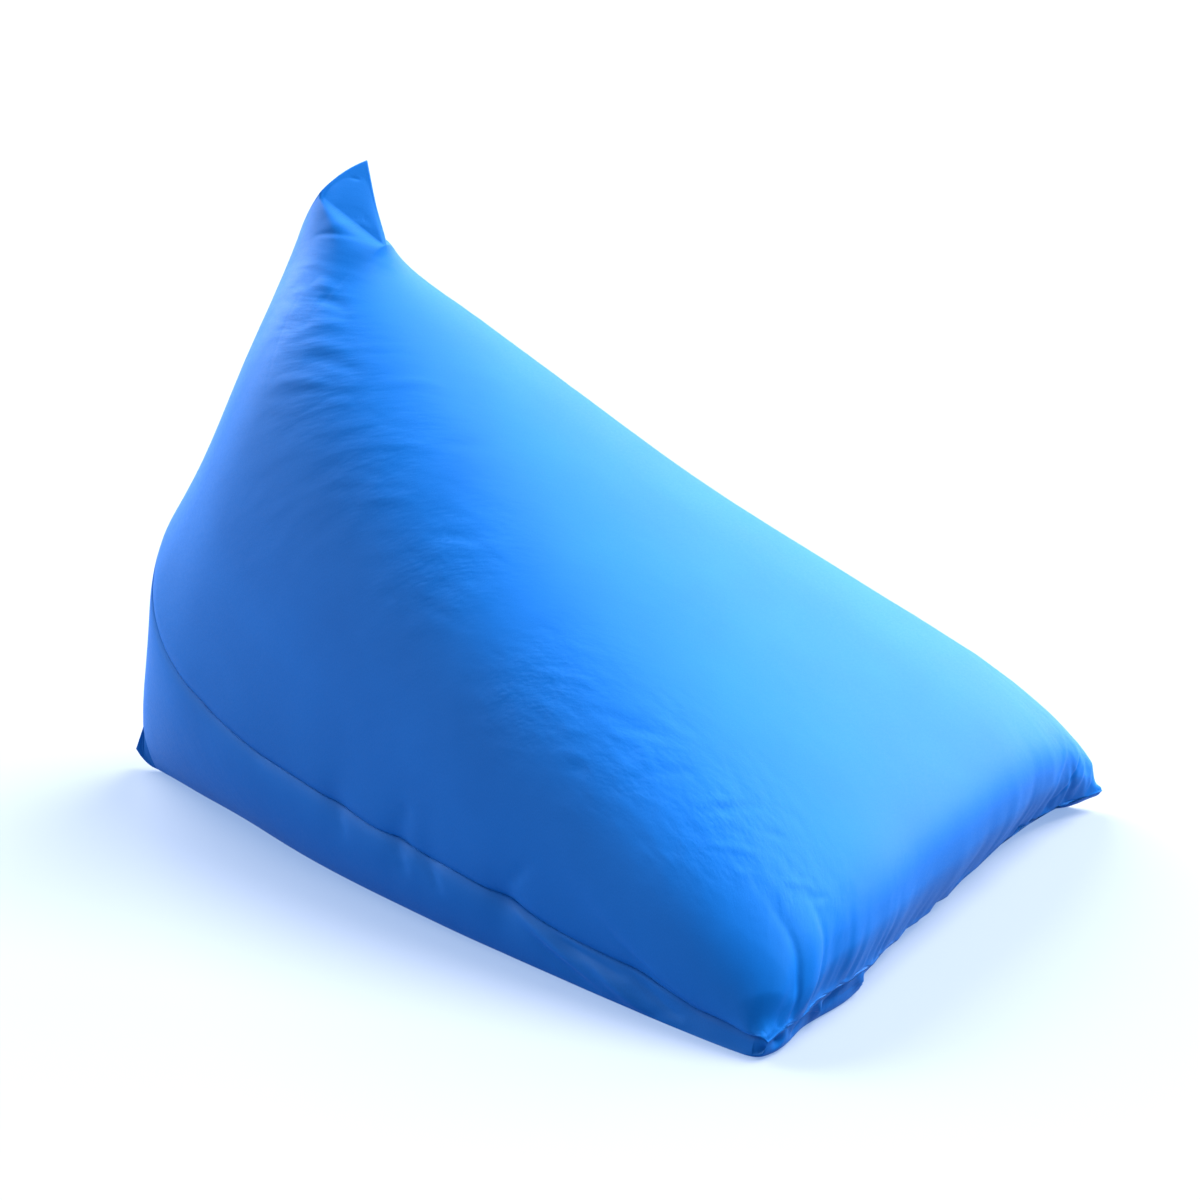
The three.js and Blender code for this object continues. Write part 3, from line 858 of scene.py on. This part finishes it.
LOWER_CREASES = (
    # the two drag folds that run from the pinched seam to the floor near the corner
    (0.373, 0.002, 0.292, 0.045, -4, 9, 5.0, 0.2),
    (0.366, 0.014, 0.300, 0.050, -4, 8, -4.0, 0),
    (0.330, 0.003, 0.262, 0.038, -5, 9, 5.0, 0.2),
    (0.345, 0.004, 0.290, 0.012, -2, 6, -4.0, 0.2),
    (0.300, 0.003, 0.240, 0.012, -2, 6, -3.0, 0.2),
    # dents below the other pinches
    (0.488, 0.003, 0.482, 0.050, 2, 5, -1.8, 0.2),
    (0.444, 0.003, 0.436, 0.060, 2, 5, -2.0, 0.2),
    (0.424, 0.003, 0.412, 0.050, 2, 6, -2.4, 0.2),
    (0.405, 0.998, 0.360, 0.950, 3, 8, 4.0, 0.1),
    (0.540, 0.998, 0.520, 0.940, 3, 7, -2.4, 0.1),
    (0.260, 0.998, 0.200, 0.950, 3, 8, 4.0, 0.1),
    # the folded strip under the near front corner
    (0.004, 0.090, 0.050, 0.130, 0, 7, -6.0, 0.3),
    (0.002, 0.215, 0.055, 0.180, 0, 7, -7.0, 0.4),
    (0.002, 0.225, 0.060, 0.280, 0, 8, 7.0, 0.3),
    (0.002, 0.300, 0.055, 0.275, 0, 6, -6.0, 0.4),
    (0.002, 0.330, 0.055, 0.365, 0, 7, 6.0, 0.2),
    # the crease across the ear on the floor
    (0.985, 0.300, 0.900, 0.470, 0, 4, -1.5, 0.5),
)
LOWER_RIPPLE_PLACES = (
    (0.30, 0.03, 60, 0.5),
    (0.60, 0.10, 120, 0.3),
)
LOWER_RIPPLE_BACKGROUND = 0.1
LOWER_RIPPLES = {"Broad Height": 0.0025, "Fine Height": 0.001, "Seed": 8.0}
LOWER_PUCKERS = {"seed": 12, "count": 46, "height": 1.4, "reach": 10}

# Creases and ripples fade out over the last few mm above the floor, which keeps the base flat.
FLOOR_FADE = 7

lower_normals = outward(lower_points, "lower")
lower_edge = smoothstep(from_edges(lower_points) / EDGE_FADE)
lower_relief = crease_relief(lower_points, lower_normals, "lower", LOWER_CREASES)
lower_relief += pucker_relief(lower_points, pucker_rows(**LOWER_PUCKERS))
lower_share = ripple_share(lower_points, "lower", LOWER_RIPPLE_PLACES, LOWER_RIPPLE_BACKGROUND)
off_floor = smoothstep(lower_points[..., 2] / FLOOR_FADE)
lower_masks = panel_masks(lower_points, lower_share * lower_edge * off_floor)
lower_points = lower_points + lower_normals * (lower_relief * lower_edge * off_floor)[..., None]
lower_points[..., 2] = np.maximum(lower_points[..., 2], 0)
lower_mesh = panel_mesh("lower_cloth", "lower", lower_points, lower_masks, CENTRE)
finish_piece("lower_cloth", "lower_panel", lower_mesh, cloth_ripples, LOWER_RIPPLES, blue_cloth)


# Floor: a wide plain pale sheet, so brightly lit that only the soft shadow round the pouf shows.
# Its own bluish glow stands for the light that a bright studio throws on it.

FLOOR_HALF = 30
FLOOR_TOP = -0.0005
FLOOR_PAINT = (0.13, 0.13, 0.13, 1)
FLOOR_GLOW = (0.26, 0.4, 0.68, 1)
floor_corners = []
for x, y in ((-1, -1), (1, -1), (1, 1), (-1, 1)):
    floor_corners.append((x * FLOOR_HALF, y * FLOOR_HALF, FLOOR_TOP))
floor_mesh = bpy.data.meshes.new("floor")
floor_mesh.from_pydata(floor_corners, [], [(0, 1, 2, 3)])
floor_paint = bpy.data.materials.new("floor_paint")
floor_paint.use_nodes = True
floor_shader = floor_paint.node_tree.nodes["Principled BSDF"]
floor_shader.inputs["Base Color"].default_value = FLOOR_PAINT
floor_shader.inputs["Roughness"].default_value = 0.9
floor_shader.inputs["Specular IOR Level"].default_value = 0
floor_shader.inputs["Emission Color"].default_value = FLOOR_GLOW
floor_shader.inputs["Emission Strength"].default_value = 1
floor_mesh.materials.append(floor_paint)
floor = bpy.data.objects.new("floor", floor_mesh)
bpy.context.scene.collection.objects.link(floor)


# Camera: a long lens, a little above the pouf, looking at its near side and its leaning front.

CAMERA_AZIMUTH = math.radians(-60.5435)
CAMERA_ELEVATION = math.radians(15.8459)
CAMERA_DISTANCE = 4.5
CAMERA_TARGET = Vector((0.19553 + CENTRE[0], CENTRE[1], 0.24950))
CAMERA_LENS = 110.66
CAMERA_SENSOR = 36


def direction(azimuth, elevation):
    """Unit vector to an azimuth, counted from straight in front, at an elevation."""
    level = math.cos(elevation)
    return Vector((math.sin(azimuth) * level, -math.cos(azimuth) * level, math.sin(elevation)))


camera_data = bpy.data.cameras.new("camera")
camera_data.lens = CAMERA_LENS
camera_data.sensor_width = CAMERA_SENSOR
camera = bpy.data.objects.new("camera", camera_data)
bpy.context.scene.collection.objects.link(camera)
towards_camera = direction(CAMERA_AZIMUTH, CAMERA_ELEVATION)
camera.location = CAMERA_TARGET + towards_camera * CAMERA_DISTANCE
camera.rotation_euler = towards_camera.to_track_quat("Z", "Y").to_euler()
bpy.context.scene.camera = camera
bpy.context.scene.view_settings.view_transform = "Standard"


# Lights: a large soft one behind, one high over the front and a weak one on either side as the
# camera sees it, with a small one close to the far front corner. Angles are in degrees.

LIGHT_COLUMNS = ("name", "azimuth", "elevation", "strength", "angle")
LIGHTS = (
    ("back_light", 150, 36, 11.0, 45),
    ("right_light", 80, 22, 3.5, 45),
    ("front_light", 40, 60, 11.0, 40),
    ("left_light", -175, 22, 3.5, 45),
)
for row in LIGHTS:
    light = dict(zip(LIGHT_COLUMNS, row))
    sun = bpy.data.lights.new(light["name"], "SUN")
    sun.energy = light["strength"]
    sun.angle = math.radians(light["angle"])
    lamp = bpy.data.objects.new(light["name"], sun)
    towards = direction(math.radians(light["azimuth"]), math.radians(light["elevation"]))
    lamp.rotation_euler = towards.to_track_quat("Z", "Y").to_euler()
    bpy.context.scene.collection.objects.link(lamp)

NEAR_LIGHT_PLACE = (0.95, -1.2, 0.42)
NEAR_LIGHT_FACING = Vector((0.6, -0.75, 0.3))
near_light = bpy.data.lights.new("near_light", "AREA")
near_light.energy = 9
near_light.size = 0.6
near_lamp = bpy.data.objects.new("near_light", near_light)
near_lamp.location = NEAR_LIGHT_PLACE
near_lamp.rotation_euler = NEAR_LIGHT_FACING.to_track_quat("Z", "Y").to_euler()
bpy.context.scene.collection.objects.link(near_lamp)

# The room is a pale plain backdrop where the camera sees it, and otherwise gives hardly any light.
ROOM_COLOUR = (0.85, 0.95, 1, 1)
ROOM_LIGHT = 0.05
ROOM_BACKDROP = 1.3
room = bpy.data.worlds.new("room")
room.use_nodes = True
room_nodes, room_links = room.node_tree.nodes, room.node_tree.links
room_nodes["Background"].inputs["Color"].default_value = ROOM_COLOUR
seen = room_nodes.new("ShaderNodeLightPath")
room_strength = room_nodes.new("ShaderNodeMapRange")
room_strength.inputs["To Min"].default_value = ROOM_LIGHT
room_strength.inputs["To Max"].default_value = ROOM_BACKDROP
room_links.new(seen.outputs["Is Camera Ray"], room_strength.inputs["Value"])
room_links.new(room_strength.outputs["Result"], room_nodes["Background"].inputs["Strength"])
bpy.context.scene.world = room
